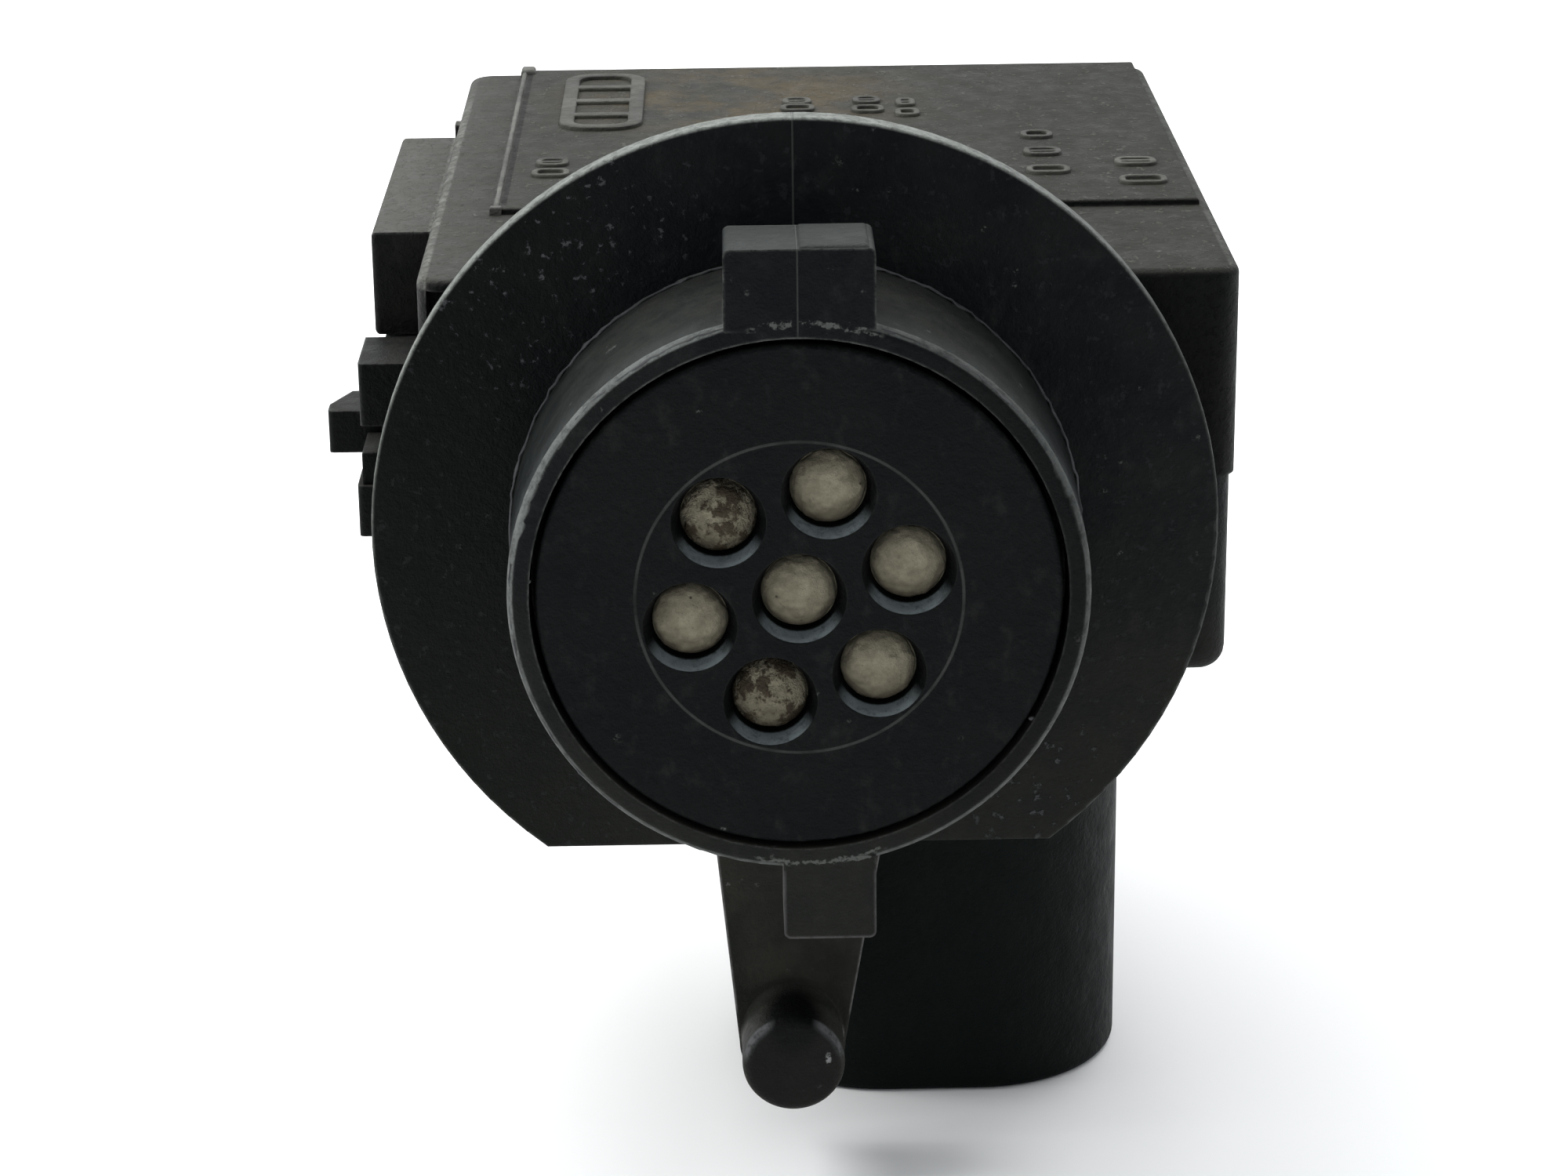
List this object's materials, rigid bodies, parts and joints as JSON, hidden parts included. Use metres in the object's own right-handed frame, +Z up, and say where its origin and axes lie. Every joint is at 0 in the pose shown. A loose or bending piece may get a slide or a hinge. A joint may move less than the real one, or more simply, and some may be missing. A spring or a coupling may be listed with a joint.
{
  "type": "cabin air quality sensor",
  "caption": "Round bayonet sensor head with a vented face, a springy detent arm with a knob, a flat electronics box behind it and a plug shroud that points down.",
  "frame": {"origin": "where the spigot's axis meets the front face of the flange, which seats on the panel", "axes": "+Z up, -Y along the spigot out of the flange, +Y back towards the electronics box, +X to the right seen from the front"},
  "size_m": [0.0491, 0.066, 0.058],
  "materials": {
    "housing_plastic": "matt black moulded plastic with fine grain, dusty",
    "lid_plastic": "matt black moulded plastic, dusty and lightly stained",
    "arm_plastic": "matt black moulded plastic",
    "cap_plastic": "satin black moulded plastic",
    "membrane_white": "off-white porous membrane with dirt specks",
    "foam_black": "closed-cell foam",
    "seal_rubber": "soft rubber",
    "holder_plastic": "plain moulded plastic",
    "can_steel": "drawn and plated steel",
    "header_plating": "gold-coloured plating",
    "chip_ceramic": "white ceramic",
    "board_laminate": "green solder mask on glass laminate",
    "chip_epoxy": "black moulding compound",
    "tinned_metal": "tinned",
    "capacitor_ceramic": "tan ceramic",
    "terminal_tin": "tinned bronze",
    "potting_resin": "cast resin"
  },
  "bodies": {
    "root": {"housing": "housing_plastic", "lid": "lid_plastic", "lid_seal": "seal_rubber", "vent_cap": "cap_plastic", "cap_gasket": "seal_rubber", "vent_membrane": "membrane_white", "membrane_ring": "foam_black", "sensor_holder": "holder_plastic", "sensor_can": "can_steel", "sensor_screen": "can_steel", "sensor_header": "header_plating", "sensor_chip": "chip_ceramic", "sensor_leads": "tinned_metal", "sensor_board": "board_laminate", "link_pins": "tinned_metal", "main_board": "board_laminate", "microcontroller": "chip_epoxy", "microcontroller_leads": "tinned_metal", "regulator": "chip_epoxy", "regulator_tab": "tinned_metal", "capacitor_base": "chip_epoxy", "capacitor_can": "can_steel", "output_transistor": "chip_epoxy", "protection_diode": "chip_epoxy", "resonator": "can_steel", "choke": "chip_epoxy", "ceramic_capacitors": "capacitor_ceramic", "chip_resistors": "chip_epoxy", "terminal_supply": "terminal_tin", "terminal_signal": "terminal_tin", "terminal_ground": "terminal_tin", "terminal_insert": "holder_plastic", "terminal_potting": "potting_resin"},
    "arm": {"latch_arm": "arm_plastic"}
  },
  "joints": [
    {"name": "arm_flex", "type": "hinge", "parent": "root", "child": "arm", "pos_m": [0, 0.00075, -0.0183], "axis": [1, 0, 0], "range_deg": [0, 20], "stiffness_Nm_per_rad": 0.45}
  ]
}
